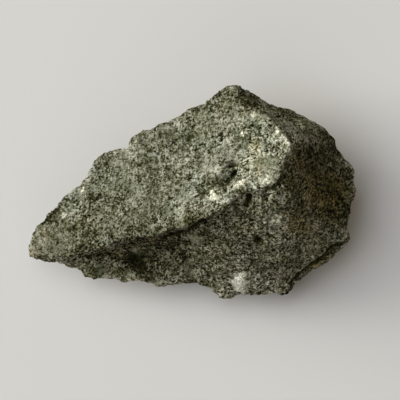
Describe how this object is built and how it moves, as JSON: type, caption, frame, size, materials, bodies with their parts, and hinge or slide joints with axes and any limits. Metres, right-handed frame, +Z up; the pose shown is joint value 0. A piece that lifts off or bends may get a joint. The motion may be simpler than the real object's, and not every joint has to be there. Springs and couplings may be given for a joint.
{
  "type": "spotted dolerite stone",
  "caption": "Rough hand specimen of green-grey dolerite with pale feldspar spots, a broken wedge that rests on a small flat spot.",
  "frame": {"origin": "middle of the small flat spot on the underside that the stone rests on", "axes": "+Z up, away from the surface it rests on; +X along its length, from the thin end to the thick end; +Y to the back"},
  "size_m": [0.1014, 0.0665, 0.047],
  "materials": {
    "dolerite": "rough broken crystalline rock, matt, with pale spots"
  },
  "bodies": {
    "root": {"stone": "dolerite"}
  },
  "joints": []
}
